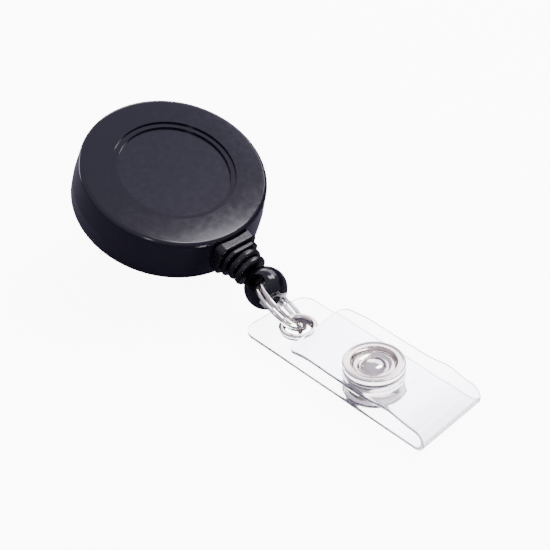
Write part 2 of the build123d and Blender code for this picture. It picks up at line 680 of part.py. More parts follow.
CASE_NODES = {
    "front_cover": make_front_cover,
    "rear_cover": make_rear_cover,
    "cord_nozzle": make_cord_nozzle,
    "cord_lead": make_cord_lead,
    "spool": make_spool,
    "cord_winding": make_cord_winding,
    "power_spring": make_power_spring,
    "clip_washer": make_clip_washer,
    "clip_plate": make_clip_plate,
    "clip_jaw": make_clip_jaw,
    "clip_pin": make_clip_pin,
    "clip_spring": make_clip_spring,
    "clip_rivet": make_clip_rivet,
}

TABLE_NODES = {
    "end_ball": make_end_ball,
    "ball_plug": make_ball_plug,
    "cord_tail": make_cord_tail,
    "cord_knot": make_cord_knot,
    "split_ring": make_split_ring,
    "strap_lower": make_strap_lower,
    "strap_upper": make_strap_upper,
    "eyelet": make_eyelet,
    "eyelet_washer": make_eyelet_washer,
    "snap_base": make_snap_base,
    "snap_stud": make_snap_stud,
    "snap_socket": make_snap_socket,
    "snap_ring": make_snap_ring,
}


def build_all():
    """Every node, placed on the table."""
    nodes = {}
    for name, make in CASE_NODES.items():
        nodes[name] = CASE_PLACE * make()
    for name, make in TABLE_NODES.items():
        nodes[name] = make()
    return nodes


os.makedirs("parts", exist_ok=True)
for name, shape in build_all().items():
    export_step(shape, "parts/" + name + ".step")
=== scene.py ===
# %% [markdown]
# # A retractable badge reel
# The real object is a round black case that holds a sprung reel of cord. The cord ends in a ball, a
# split ring hangs from the ball, and the ring carries a clear vinyl strap that closes with a press
# snap. The engineering model gives every piece its place and size, so this lesson only adds looks:
# it keeps the moulded pieces, remakes the thin and soft ones, and gives each surface its finish.

# %% Load the frame
import json
import math

import bpy
from mathutils import Matrix, Vector


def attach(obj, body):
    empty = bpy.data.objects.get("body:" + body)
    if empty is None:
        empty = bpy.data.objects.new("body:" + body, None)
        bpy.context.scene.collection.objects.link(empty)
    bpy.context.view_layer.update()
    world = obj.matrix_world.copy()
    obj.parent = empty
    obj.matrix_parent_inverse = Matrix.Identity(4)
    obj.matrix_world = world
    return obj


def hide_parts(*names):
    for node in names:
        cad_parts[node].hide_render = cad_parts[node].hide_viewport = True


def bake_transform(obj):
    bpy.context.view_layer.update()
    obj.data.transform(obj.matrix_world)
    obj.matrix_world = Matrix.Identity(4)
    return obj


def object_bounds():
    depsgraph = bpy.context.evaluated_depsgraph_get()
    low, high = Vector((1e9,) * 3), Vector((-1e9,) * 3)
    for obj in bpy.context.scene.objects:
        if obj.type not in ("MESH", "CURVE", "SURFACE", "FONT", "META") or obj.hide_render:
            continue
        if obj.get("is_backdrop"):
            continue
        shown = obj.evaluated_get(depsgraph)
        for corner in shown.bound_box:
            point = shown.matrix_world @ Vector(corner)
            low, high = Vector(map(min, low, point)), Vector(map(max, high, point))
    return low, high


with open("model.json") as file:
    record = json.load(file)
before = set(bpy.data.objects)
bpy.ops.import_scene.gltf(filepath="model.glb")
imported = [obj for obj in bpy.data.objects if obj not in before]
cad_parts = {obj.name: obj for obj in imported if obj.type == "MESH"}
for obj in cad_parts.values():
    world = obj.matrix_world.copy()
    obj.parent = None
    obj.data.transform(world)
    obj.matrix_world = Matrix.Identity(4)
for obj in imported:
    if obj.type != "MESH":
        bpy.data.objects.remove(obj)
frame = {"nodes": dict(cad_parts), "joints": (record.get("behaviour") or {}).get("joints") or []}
cad_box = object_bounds()
nodes = frame["nodes"]
joints = {joint["name"]: joint for joint in frame["joints"]}

# %% [markdown]
# Two helpers place things. The case lies nose down and the strap lies almost flat, so each has axes
# of its own, and pieces are easier to model upright in those axes and to move afterwards. The joints
# say where the axes are. Everything below is written in millimetres and turned into metres once.

# %% Axes of the case, the strap and the ring
MM = 0.001
STRAP_TILT = math.radians(2.5)
STRAP_REACH = 31.9
FOLD_LEVEL = 1.8


def axes(origin, x_way, z_way):
    """A place matrix from an origin, the local x and the local z."""
    x = Vector(x_way).normalized()
    z = Vector(z_way).normalized()
    y = z.cross(x)
    turn = Matrix((x, y, z)).transposed()
    return Matrix.Translation(Vector(origin)) @ turn.to_4x4()


CASE = axes(joints["clip_swivel"]["pos_m"], joints["ball_roll"]["axis"], joints["spool_spin"]["axis"])
strap_x = Vector((math.cos(STRAP_TILT), 0, -math.sin(STRAP_TILT)))
strap_z = Vector((math.sin(STRAP_TILT), 0, math.cos(STRAP_TILT)))
fold_apex = Vector(joints["flap_open"]["pos_m"])
STRAP = axes(fold_apex - strap_x * STRAP_REACH * MM - strap_z * FOLD_LEVEL * MM, strap_x, strap_z)
ball_centre = Vector(joints["ring_swing"]["pos_m"])
ring_end = Vector(joints["strap_pitch"]["pos_m"])
across = Vector(joints["ring_swing"]["axis"])
print("case leans", round(math.degrees(math.acos(CASE[2][2])), 1), "degrees")

# %% [markdown]
# The camera comes first, because every later choice is judged through it. A long lens some way off
# keeps the round case from looking like an egg. The aim point is a little beside the middle, and the
# small roll tips the whole group a little, as if the table were seen from one side.

# %% Camera
CAMERA_AZIMUTH = math.radians(50.85)
CAMERA_ELEVATION = math.radians(34.07)
CAMERA_ROLL = math.radians(-4.465)
CAMERA_DISTANCE = 247.0 * MM
AIM = Vector((-3.1, 4.2, 5.2)) * MM

lens = bpy.data.cameras.new("studio_camera")
lens.lens = 100
lens.sensor_width = 36
lens.clip_start = 0.01
camera = bpy.data.objects.new("studio_camera", lens)
bpy.context.scene.collection.objects.link(camera)
flat = math.cos(CAMERA_ELEVATION)
back = Vector((math.sin(CAMERA_AZIMUTH) * flat, -math.cos(CAMERA_AZIMUTH) * flat, math.sin(CAMERA_ELEVATION)))
camera.location = AIM + back * CAMERA_DISTANCE
look = (-back).to_track_quat("-Z", "Y").to_matrix().to_4x4()
camera.rotation_euler = (look @ Matrix.Rotation(CAMERA_ROLL, 4, "Z")).to_euler()
bpy.context.scene.camera = camera
print("camera at", [round(v, 4) for v in camera.location])

# %% [markdown]
# A product table is a pale sweep with very soft light. The floor is one large plane that is bent up
# at the back like studio paper, so there is no horizon. The world is almost white, which fills the
# shadows and gives clear vinyl something to pass on, and it is brighter overhead, as under a
# softbox. The paper is lit from behind where it is seen straight or through the vinyl, as on a
# light table, and it is darker in reflections, as with black cards round the set, so black
# plastic stays black. Panels overhead draw the broad sheens on the case and the metal.

# %% Selection and material helpers
def deselect_all():
    """Start every operator from nothing selected."""
    if bpy.context.mode != "OBJECT":
        bpy.ops.object.mode_set(mode="OBJECT")
    bpy.ops.object.select_all(action="DESELECT")


def take(name):
    """Name the primitive that was just added, and hand it back."""
    piece = bpy.context.active_object
    piece.name = name
    piece.data.name = name
    return piece


def choose(piece, wanted, kind="FACE"):
    """Select the faces, edges or vertices of a piece that pass a test, and stay in edit mode."""
    bpy.ops.object.mode_set(mode="EDIT")
    bpy.ops.mesh.select_mode(type=kind)
    bpy.ops.mesh.select_all(action="DESELECT")
    bpy.ops.object.mode_set(mode="OBJECT")
    parts = {"FACE": piece.data.polygons, "EDGE": piece.data.edges, "VERT": piece.data.vertices}[kind]
    for part in parts:
        part.select = bool(wanted(part))
    bpy.ops.object.mode_set(mode="EDIT")


def apply_all(piece):
    """Apply a piece's modifiers from the top."""
    if bpy.context.mode != "OBJECT":
        bpy.ops.object.mode_set(mode="OBJECT")
    bpy.context.view_layer.objects.active = piece
    for modifier in list(piece.modifiers):
        bpy.ops.object.modifier_apply(modifier=modifier.name)


def settle(piece, place, smooth=40):
    """Put the piece's place into its mesh, so that the object sits at the origin, and smooth it."""
    if bpy.context.mode != "OBJECT":
        bpy.ops.object.mode_set(mode="OBJECT")
    piece.data.transform(place @ piece.matrix_world)
    piece.matrix_world = Matrix.Identity(4)
    deselect_all()
    piece.select_set(True)
    bpy.context.view_layer.objects.active = piece
    bpy.ops.object.shade_smooth_by_angle(angle=math.radians(smooth))
    deselect_all()
    print(piece.name, len(piece.data.polygons), "faces")
    return piece


def hex_colour(code):
    """An sRGB hex colour as the linear colour that shaders use."""
    values = [int(code[i:i + 2], 16) / 255 for i in (1, 3, 5)]
    linear = [v / 12.92 if v <= 0.04045 else ((v + 0.055) / 1.055) ** 2.4 for v in values]
    return (*linear, 1.0)


def add_node(tree, kind, settings=None, inputs=None):
    """Add a shader node, set its options, and set or link its inputs."""
    node = tree.nodes.new(kind)
    for name, value in (settings or {}).items():
        setattr(node, name, value)
    for name, value in (inputs or {}).items():
        if isinstance(value, bpy.types.NodeSocket):
            tree.links.new(value, node.inputs[name])
        else:
            node.inputs[name].default_value = value
    return node


def finish_of(name, **constants):
    """A new material with one Principled shader, and its constant values set on the shader itself."""
    material = bpy.data.materials.new(name)
    material.use_nodes = True
    shader = material.node_tree.nodes["Principled BSDF"]
    for key, value in constants.items():
        shader.inputs[key.replace("_", " ")].default_value = value
    return material, material.node_tree, shader


def per_metre(millimetres):
    """The texture scale that repeats a pattern over this many millimetres."""
    return 1.0 / (millimetres * MM)


# %% Floor and light
PAPER_GLOW = 9.0
paper, tree, shader = finish_of("studio_paper_matt", Roughness=0.9, Specular_IOR_Level=0.1)
place = add_node(tree, "ShaderNodeTexCoord")
grain = add_node(tree, "ShaderNodeTexNoise", inputs={
    "Vector": place.outputs["Object"], "Scale": per_metre(1.2)})
tone = add_node(tree, "ShaderNodeMix", {"data_type": "RGBA"}, {
    0: grain.outputs["Fac"], 6: hex_colour("#FAFAFA"), 7: hex_colour("#FDFDFD")})
path = add_node(tree, "ShaderNodeLightPath")
mirrored = add_node(tree, "ShaderNodeMath", {"operation": "MULTIPLY"}, {
    0: path.outputs["Is Glossy Ray"], 1: path.outputs["Is Reflection Ray"]})
# Painted reflection: in glossy reflections the paper takes a dark grey instead of its white, standing in for
# black cards round the set, so black plastic reflects shade.
shown = add_node(tree, "ShaderNodeMix", {"data_type": "RGBA"}, {
    0: mirrored.outputs[0], 6: tone.outputs[2], 7: hex_colour("#5E5C66")})
tree.links.new(shown.outputs[2], shader.inputs["Base Color"])
seen = add_node(tree, "ShaderNodeMath", {"operation": "MAXIMUM"}, {
    0: path.outputs["Is Camera Ray"], 1: path.outputs["Is Transmission Ray"]})
glow = add_node(tree, "ShaderNodeMath", {"operation": "MULTIPLY"}, {0: seen.outputs[0], 1: PAPER_GLOW})
shader.inputs["Emission Color"].default_value = hex_colour("#FFFFFF")
tree.links.new(glow.outputs[0], shader.inputs["Emission Strength"])

deselect_all()
bpy.ops.mesh.primitive_plane_add(size=3.0, location=(0, 0, 0))
floor = take("studio_floor")
choose(floor, lambda edge: all(floor.data.vertices[i].co.y > 1.4 for i in edge.vertices), "EDGE")
bpy.ops.mesh.extrude_region_move(TRANSFORM_OT_translate={"value": (0, 0.4, 0.9)})
bpy.ops.object.mode_set(mode="OBJECT")
floor.data.materials.append(paper)
settle(floor, Matrix.Identity(4))
floor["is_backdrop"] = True


def panel(name, way, distance, size, power, colour):
    """A soft panel that faces the object from a direction, with its width along x."""
    light = bpy.data.lights.new(name, "AREA")
    light.shape = "RECTANGLE"
    light.size = size[0]
    light.size_y = size[1]
    light.energy = power
    light.color = hex_colour(colour)[:3]
    lamp = bpy.data.objects.new(name, light)
    bpy.context.scene.collection.objects.link(lamp)
    way = Vector(way).normalized()
    side = Vector((1, 0, 0)) - way * way.x
    lamp.matrix_world = axes(way * distance, side, way)
    return lamp


panel("sheen_panel", (0.175, 0.47, 0.87), 0.6, (0.2, 0.3), 3.6, "#FBF8FF")
panel("upper_panel", (-0.20, 0.74, 0.66), 0.8, (0.5, 0.3), 2.4, "#EEE8FF")
panel("low_back_panel", (-0.64, 0.52, 0.56), 0.8, (0.3, 0.24), 1.3, "#FFF6F2")
panel("side_panel", (-0.95, -0.25, 0.2), 0.7, (0.2, 0.3), 1.2, "#F4F6FF")
panel("front_panel", (0.75, -0.75, 0.6), 0.9, (0.1, 0.2), 0.8, "#FFFFFF")

world = bpy.data.worlds.new("white_room")
world.use_nodes = True
sky = world.node_tree
toward = add_node(sky, "ShaderNodeTexCoord")
up = add_node(sky, "ShaderNodeSeparateXYZ", inputs={0: toward.outputs["Generated"]})
overhead = add_node(sky, "ShaderNodeMapRange", {"interpolation_type": "SMOOTHSTEP"}, {
    "Value": up.outputs["Z"], "From Min": 0.2, "From Max": 0.9, "To Min": 0.7, "To Max": 1.25})
sky.nodes["Background"].inputs["Color"].default_value = hex_colour("#E8E3FF")
sky.links.new(overhead.outputs[0], sky.nodes["Background"].inputs["Strength"])
bpy.context.scene.world = world

# %% [markdown]
# ## Black mouldings
# The case is injection-moulded ABS from a polished tool: deep gloss with a faint ripple, called
# orange peel, and a few fine handling marks. The sunk label disc in the middle comes from a part of
# the tool that was spark-eroded, so it is satin. Both are one material, and the disc is found by its
# radius and height in the case's own axes.

# %% Moulded gloss ABS
RECESS_FLOOR_RADIUS = 9.4
RECESS_MIN_LEVEL = 6.6


def in_case_axes(tree):
    """Object coordinates turned into the case's own axes, in metres."""
    place = add_node(tree, "ShaderNodeTexCoord")
    lean = CASE.to_euler()
    return add_node(tree, "ShaderNodeMapping", {"vector_type": "TEXTURE"}, {
        "Vector": place.outputs["Object"], "Location": CASE.translation, "Rotation": tuple(lean)}).outputs[0]


def math_node(tree, operation, first, second=0.0, clamp=False):
    """One sum of a mask."""
    return add_node(tree, "ShaderNodeMath", {"operation": operation, "use_clamp": clamp}, {
        0: first, 1: second}).outputs[0]


case_black, tree, shader = finish_of("abs_moulded_gloss_black", IOR=1.5, Specular_IOR_Level=0.36)
spot = in_case_axes(tree)
ripple = add_node(tree, "ShaderNodeTexNoise", inputs={
    "Vector": spot, "Scale": per_metre(3.5), "Detail": 2.0})
marks = add_node(tree, "ShaderNodeTexNoise", inputs={
    "Vector": spot, "Scale": per_metre(0.9), "Detail": 5.0})
erosion = add_node(tree, "ShaderNodeTexNoise", inputs={
    "Vector": spot, "Scale": per_metre(0.22), "Detail": 3.0})
flat_spot = add_node(tree, "ShaderNodeVectorMath", {"operation": "MULTIPLY"}, {0: spot, 1: (1, 1, 0)})
measured = add_node(tree, "ShaderNodeVectorMath", {"operation": "LENGTH"}, {0: flat_spot.outputs[0]})
radius = measured.outputs["Value"]
level = add_node(tree, "ShaderNodeSeparateXYZ", inputs={0: spot}).outputs["Z"]
inside = math_node(tree, "LESS_THAN", radius, RECESS_FLOOR_RADIUS * MM)
above = math_node(tree, "GREATER_THAN", level, RECESS_MIN_LEVEL * MM)
disc = math_node(tree, "MULTIPLY", inside, above)
# Painted sheen: the satin label disc's base colour is set a little lighter than the gloss black, standing in for
# the spread reflection of its eroded surface.
tint = add_node(tree, "ShaderNodeMix", {"data_type": "RGBA"}, {
    0: disc, 6: hex_colour("#0B0A13"), 7: hex_colour("#100E18")})
gloss = add_node(tree, "ShaderNodeMapRange", inputs={
    "Value": marks.outputs["Fac"], "From Min": 0.35, "From Max": 0.75, "To Min": 0.1, "To Max": 0.14})
satin = math_node(tree, "MULTIPLY", disc, 0.025)
rough = math_node(tree, "ADD", gloss.outputs[0], satin, clamp=True)
soft = add_node(tree, "ShaderNodeBump", inputs={
    "Strength": 0.1, "Distance": 0.02 * MM, "Height": ripple.outputs["Fac"]})
grit = math_node(tree, "MULTIPLY", erosion.outputs["Fac"], disc)
skin = add_node(tree, "ShaderNodeBump", inputs={
    "Strength": 0.12, "Distance": 0.02 * MM, "Height": grit, "Normal": soft.outputs[0]})
tree.links.new(tint.outputs[2], shader.inputs["Base Color"])
tree.links.new(rough, shader.inputs["Roughness"])
tree.links.new(skin.outputs[0], shader.inputs["Normal"])
print("case material made")

# %% [markdown]
# The smaller black pieces are plain mouldings without a label disc. One recipe makes them, and the
# numbers say how polished each tool is: the ball is the shiniest and the nozzle a little softer.
# The reel inside is natural acetal, a waxy white plastic.

# %% Other mouldings
def moulded(name, shade, light_shade, low, high, peel):
    """A moulded plastic: its colour barely drifts, and its gloss and skin vary a little more."""
    material, tree, shader = finish_of(name, IOR=1.5, Specular_IOR_Level=0.36)
    place = add_node(tree, "ShaderNodeTexCoord")
    drift = add_node(tree, "ShaderNodeTexNoise", inputs={
        "Vector": place.outputs["Object"], "Scale": per_metre(2.4), "Detail": 3.0})
    fine = add_node(tree, "ShaderNodeTexNoise", inputs={
        "Vector": place.outputs["Object"], "Scale": per_metre(0.5), "Detail": 4.0})
    tint = add_node(tree, "ShaderNodeMix", {"data_type": "RGBA"}, {
        0: drift.outputs["Fac"], 6: hex_colour(shade), 7: hex_colour(light_shade)})
    gloss = add_node(tree, "ShaderNodeMapRange", inputs={
        "Value": fine.outputs["Fac"], "From Min": 0.35, "From Max": 0.7, "To Min": low, "To Max": high})
    skin = add_node(tree, "ShaderNodeBump", inputs={
        "Strength": peel, "Distance": 0.02 * MM, "Height": drift.outputs["Fac"]})
    tree.links.new(tint.outputs[2], shader.inputs["Base Color"])
    tree.links.new(gloss.outputs[0], shader.inputs["Roughness"])
    tree.links.new(skin.outputs[0], shader.inputs["Normal"])
    return material


nozzle_black = moulded("polypropylene_moulded_black", "#060608", "#0A0A0D", 0.2, 0.32, 0.25)
ball_black = moulded("abs_polished_black", "#07060B", "#0A090F", 0.07, 0.14, 0.12)
acetal = moulded("acetal_moulded_natural", "#E9E7DF", "#F1EFE8", 0.38, 0.5, 0.2)
print("mouldings made")

# %% [markdown]
# ## Metals
# The ring, the eyelet, the snap and the clip are steel with a bright nickel plate, which is a
# slightly warm mirror with a soft haze and hairline rubs. The reel's spring is blue-grey rolled
# strip, whose rolling leaves fine lines. Metals need little more than a true colour and a roughness
# that isn't the same everywhere.

# %% Nickel plate and spring strip
def plated(name, shade, dark, low, high, haze):
    """A plated or rolled metal with a drifting haze and fine rubs."""
    material, tree, shader = finish_of(name, Metallic=1.0)
    place = add_node(tree, "ShaderNodeTexCoord")
    cloud = add_node(tree, "ShaderNodeTexNoise", inputs={
        "Vector": place.outputs["Object"], "Scale": per_metre(haze), "Detail": 4.0})
    stretch = add_node(tree, "ShaderNodeMapping", inputs={
        "Vector": place.outputs["Object"], "Scale": (1.0, 6.0, 1.5)})
    rubs = add_node(tree, "ShaderNodeTexNoise", inputs={
        "Vector": stretch.outputs[0], "Scale": per_metre(0.6), "Detail": 6.0})
    tint = add_node(tree, "ShaderNodeMix", {"data_type": "RGBA"}, {
        0: cloud.outputs["Fac"], 6: hex_colour(dark), 7: hex_colour(shade)})
    gloss = add_node(tree, "ShaderNodeMapRange", inputs={
        "Value": rubs.outputs["Fac"], "From Min": 0.3, "From Max": 0.7, "To Min": low, "To Max": high})
    skin = add_node(tree, "ShaderNodeBump", inputs={
        "Strength": 0.08, "Distance": 0.01 * MM, "Height": rubs.outputs["Fac"]})
    tree.links.new(tint.outputs[2], shader.inputs["Base Color"])
    tree.links.new(gloss.outputs[0], shader.inputs["Roughness"])
    tree.links.new(skin.outputs[0], shader.inputs["Normal"])
    return material


nickel = plated("nickel_plate_bright", "#E9E3DC", "#D8D0C8", 0.08, 0.2, 1.6)
strip_steel = plated("spring_steel_rolled", "#8E939A", "#777C84", 0.25, 0.4, 0.8)
print("metals made")

# %% [markdown]
# ## Clear vinyl
# The strap is flexible PVC sheet, die cut and clear, faintly blue through its edges and a little
# cloudy where it is bent. A transmitting shader gives the thin grey lines along its edges for free,
# because they bend the light away. The cloudiness is a small share of plain white plastic mixed in
# near the fold.

# %% Vinyl material
vinyl, tree, shader = finish_of("pvc_sheet_clear", IOR=1.42)
place = add_node(tree, "ShaderNodeTexCoord")
ripple = add_node(tree, "ShaderNodeTexNoise", inputs={
    "Vector": place.outputs["Object"], "Scale": per_metre(6.0), "Detail": 2.0})
handled = add_node(tree, "ShaderNodeTexNoise", inputs={
    "Vector": place.outputs["Object"], "Scale": per_metre(0.9), "Detail": 5.0})
reach = add_node(tree, "ShaderNodeSeparateXYZ", inputs={0: place.outputs["Object"]}).outputs["X"]
bent = add_node(tree, "ShaderNodeMapRange", inputs={
    "Value": reach, "From Min": fold_apex.x - 6 * MM, "From Max": fold_apex.x, "To Min": 0.96, "To Max": 0.8})
gloss = add_node(tree, "ShaderNodeMapRange", inputs={
    "Value": handled.outputs["Fac"], "From Min": 0.3, "From Max": 0.7, "To Min": 0.03, "To Max": 0.12})
wave = add_node(tree, "ShaderNodeBump", inputs={
    "Strength": 0.3, "Distance": 0.15 * MM, "Height": ripple.outputs["Fac"]})
tint = add_node(tree, "ShaderNodeMix", {"data_type": "RGBA"}, {
    0: handled.outputs["Fac"], 6: hex_colour("#F6F6FF"), 7: hex_colour("#FBFBFF")})
tree.links.new(tint.outputs[2], shader.inputs["Base Color"])
tree.links.new(bent.outputs[0], shader.inputs["Transmission Weight"])
tree.links.new(gloss.outputs[0], shader.inputs["Roughness"])
tree.links.new(wave.outputs[0], shader.inputs["Normal"])
print("vinyl made")

# %% [markdown]
# ## Braided cord
# The cord is thin black nylon braid. Two sets of diagonal strands cross at a steep angle, so two
# slanted wave patterns are combined and used as bump and as painted shade: darker in the gaps
# between strands and lighter on their crowns.

# %% Nylon braid
STRAND_SPACING = 0.3
braid, tree, shader = finish_of("nylon_braid_black", Roughness=0.62, Sheen_Weight=0.3)
place = add_node(tree, "ShaderNodeTexCoord")
strands = []
for lean in (1, -1):
    turned = add_node(tree, "ShaderNodeMapping", inputs={
        "Vector": place.outputs["Object"], "Rotation": (0, 0, lean * math.radians(38))})
    strands.append(add_node(tree, "ShaderNodeTexWave", {"bands_direction": "X"}, {
        "Vector": turned.outputs[0], "Scale": per_metre(STRAND_SPACING) / 20, "Distortion": 0.4}).outputs["Fac"])
woven = math_node(tree, "MAXIMUM", strands[0], strands[1])
# Painted shade: the braid's colour is darker in the gaps between strands and lighter on their crowns.
tint = add_node(tree, "ShaderNodeMix", {"data_type": "RGBA"}, {
    0: woven, 6: hex_colour("#08080A"), 7: hex_colour("#1E1E22")})
skin = add_node(tree, "ShaderNodeBump", inputs={"Strength": 0.6, "Distance": 0.06 * MM, "Height": woven})
tree.links.new(tint.outputs[2], shader.inputs["Base Color"])
tree.links.new(skin.outputs[0], shader.inputs["Normal"])
print("braid made")

# %% [markdown]
# ## The kept pieces
# The engineering model already has the right shape for the mouldings, so they stay and only change
# their finish. Each one's slots are filled with the new material.

# %% Finishes for the kept pieces
FINISHES = {
    "front_cover": case_black,
    "rear_cover": case_black,
    "cord_nozzle": nozzle_black,
    "end_ball": ball_black,
    "ball_plug": ball_black,
    "spool": acetal,
    "cord_winding": braid,
    "cord_lead": braid,
    "cord_knot": braid,
    "power_spring": strip_steel,
    "clip_spring": strip_steel,
    "clip_plate": nickel,
    "clip_jaw": nickel,
    "clip_pin": nickel,
    "clip_rivet": nickel,
    "clip_washer": nozzle_black,
    "snap_base": nickel,
    "snap_stud": nickel,
}
for name, material in FINISHES.items():
    mesh = nodes[name].data
    mesh.materials.clear()
    mesh.materials.append(material)
print("finishes", len(FINISHES))

# %% [markdown]
# ## The vinyl strap
# On the real reel the strap is one strip: the lower layer holds the eyelet, the strip folds back
# at its far end, and the flap lies over it with the top half of the snap. A flat strip is easy to
# get right, so it is cut flat first, with its rounded ends, its thickness, softened edges and three
# punched holes. Only then is it wound along the folded path, point by point.

# %% Cut the strip flat
STRIP_WIDTH = 13.4
STRIP_THICKNESS = 0.6
TAIL = 6.0
FOLD_RADIUS = 1.5
FOLD_X = STRAP_REACH - FOLD_RADIUS - STRIP_THICKNESS / 2
FLAP_END_X = 3.35
TAIL_CORNER = 2.6
FLAP_CORNER = 2.0
lower_length = FOLD_X + TAIL
fold_length = math.pi * FOLD_RADIUS
upper_length = FOLD_X - FLAP_END_X
strip_length = lower_length + fold_length + upper_length

deselect_all()
bpy.ops.mesh.primitive_grid_add(x_subdivisions=170, y_subdivisions=28, size=1)
strap = take("vinyl_strap")


def half_width(s):
    """Half the strip's width at a distance from its first end, less near the rounded corners."""
    for distance, corner in ((s, TAIL_CORNER), (strip_length - s, FLAP_CORNER)):
        if distance < corner:
            inset = corner - math.sqrt(max(corner ** 2 - (corner - distance) ** 2, 0))
            return STRIP_WIDTH / 2 - inset
    return STRIP_WIDTH / 2


def end_eased(share):
    """Crowd the columns towards the ends, where the corners need them."""
    return share - 0.012 * math.sin(2 * math.pi * share)


for vertex in strap.data.vertices:
    s = strip_length * min(max(end_eased(vertex.co.x + 0.5), 0), 1)
    vertex.co = Vector((s, vertex.co.y * 2 * half_width(s), 0)) * MM
sheet_wall = strap.modifiers.new("thickness", "SOLIDIFY")
sheet_wall.thickness = STRIP_THICKNESS * MM
sheet_wall.offset = 0
soft_edge = strap.modifiers.new("cut_edge", "BEVEL")
soft_edge.width = 0.1 * MM
soft_edge.segments = 2
soft_edge.limit_method = "ANGLE"
soft_edge.angle_limit = math.radians(50)
apply_all(strap)
print("strip length", round(strip_length, 2), "mm")

# %% Punch the holes
SNAP_X = 17.6
SNAP_Y = -0.8
holes = [
    (TAIL, 0.0, 2.45),
    (TAIL + SNAP_X, SNAP_Y, 1.9),
    (lower_length + fold_length + FOLD_X - SNAP_X, SNAP_Y, 2.45),
]
for s, y, hole_radius in holes:
    deselect_all()
    bpy.ops.mesh.primitive_cylinder_add(
        vertices=64, radius=hole_radius * MM, depth=4 * MM, location=(s * MM, y * MM, 0))
    punch = take("punch")
    cut = strap.modifiers.new("hole", "BOOLEAN")
    cut.operation = "DIFFERENCE"
    cut.solver = "EXACT"
    cut.object = punch
    apply_all(strap)
    bpy.data.objects.remove(punch)
print("strip faces", len(strap.data.polygons))


# %% Wind the strip along its folded path
def rise(x, y):
    """How far the flap stands off its straight line: a swell before the fold and a drooping end."""
    swell = 0.6 * math.exp(-((x - 25.6) / 2.4) ** 2)
    droop = -1.1 * min(1.0, max(0.0, (10.0 - x) / 6.7)) ** 1.5
    curl = 0.25 * (y / 6.7) ** 2 * max(0.0, (14.0 - x) / 11.0)
    return swell + droop + curl


def sway(x, y):
    """A slight waviness of the lower layer, which lies under the flap."""
    return 0.1 * math.sin(x * 0.42 + 0.6) * math.cos(y * 0.2) * min(1.0, max(0.0, (STRAP_REACH - x) / 6.0))


def eased(value):
    """0 below 0, 1 above 1, and a smooth step between."""
    share = min(max(value, 0.0), 1.0)
    return share * share * (3 - 2 * share)


def skewed(point, flap):
    """The fold was pressed a little askew, so it reaches further on one side, and so does the flap."""
    reach = (0.85 - 0.1 * point.y) * eased((point.x - 22.6) / 8.0)
    drawn_back = (0.35 - 0.13 * point.y) * eased((10.5 - point.x) / 7.0) if flap else 0.0
    return Vector((point.x + reach + drawn_back, point.y, point.z))


def folded(s, y, u):
    """A point of the flat strip, in the strap's own axes. u is its height off the middle surface."""
    level = STRIP_THICKNESS / 2
    if s < lower_length:
        x = s - TAIL
        near_eyelet = min(1.0, max(0.0, (math.hypot(x, y) - 3.2) / 3.0))
        near_snap = min(1.0, max(0.0, (math.hypot(x - SNAP_X, y - SNAP_Y) - 4.8) / 3.0))
        return skewed(Vector((x, y, level + u + sway(x, y) * near_eyelet * near_snap)), False)
    if s < lower_length + fold_length:
        angle = (s - lower_length) / FOLD_RADIUS
        arm = FOLD_RADIUS - u
        round_fold = Vector((FOLD_X + arm * math.sin(angle), y, level + FOLD_RADIUS - arm * math.cos(angle)))
        return skewed(round_fold, False)
    x = FOLD_X - (s - lower_length - fold_length)
    near_snap = min(1.0, max(0.0, (math.hypot(x - SNAP_X, y - SNAP_Y) - 4.8) / 2.5))
    return skewed(Vector((x, y, level + 2 * FOLD_RADIUS - u + rise(x, y) * near_snap)), True)


for vertex in strap.data.vertices:
    s, y, u = [value / MM for value in vertex.co]
    vertex.co = folded(s, y, u) * MM
settle(strap, STRAP, smooth=35)
strap.data.materials.append(vinyl)
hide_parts("strap_lower", "strap_upper")
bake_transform(strap)

# %% [markdown]
# ## Turned and pressed metal
# The eyelet and the snap halves are pressed from sheet, round about their own centre. Spinning a
# profile once round that centre is the natural way to make them. The helper collapses a small
# plane to one point, extrudes it from point to point along the outline, and spins the line.


# %% Lathe helper
def arc(centre_r, centre_z, size, first, last, steps=8):
    """Points on part of a circle in the profile plane, with angles in degrees."""
    points = []
    for i in range(steps + 1):
        angle = math.radians(first + (last - first) * i / steps)
        points.append((centre_r + size * math.cos(angle), centre_z + size * math.sin(angle)))
    return points


def lathe(name, outline, steps=96):
    """Spin a closed outline of (radius, height) points, in millimetres, about z."""
    deselect_all()
    bpy.ops.mesh.primitive_plane_add(size=MM, location=(0, 0, 0))
    piece = take(name)
    bpy.ops.object.mode_set(mode="EDIT")
    bpy.ops.mesh.select_mode(type="VERT")
    bpy.ops.mesh.select_all(action="SELECT")
    bpy.ops.mesh.merge(type="CENTER")
    bpy.ops.mesh.select_all(action="SELECT")
    bpy.ops.transform.translate(value=(outline[0][0] * MM, 0, outline[0][1] * MM))
    for start, end in zip(outline, outline[1:] + outline[:1]):
        step = ((end[0] - start[0]) * MM, 0, (end[1] - start[1]) * MM)
        bpy.ops.mesh.extrude_vertices_move(TRANSFORM_OT_translate={"value": step})
    bpy.ops.mesh.select_all(action="SELECT")
    bpy.ops.mesh.spin(steps=steps, angle=2 * math.pi, center=(0, 0, 0), axis=(0, 0, 1))
    bpy.ops.mesh.select_all(action="SELECT")
    bpy.ops.mesh.remove_doubles(threshold=0.002 * MM)
    bpy.ops.mesh.normals_make_consistent(inside=False)
    bpy.ops.object.mode_set(mode="OBJECT")
    return piece


# %% [markdown]
# The eyelet is a barrel with a rolled lip on top. The lip catches a bright line all the way round,
# so it is a true half round in section. Its washer underneath is flatter, because it is the side
# that the setting tool pressed.

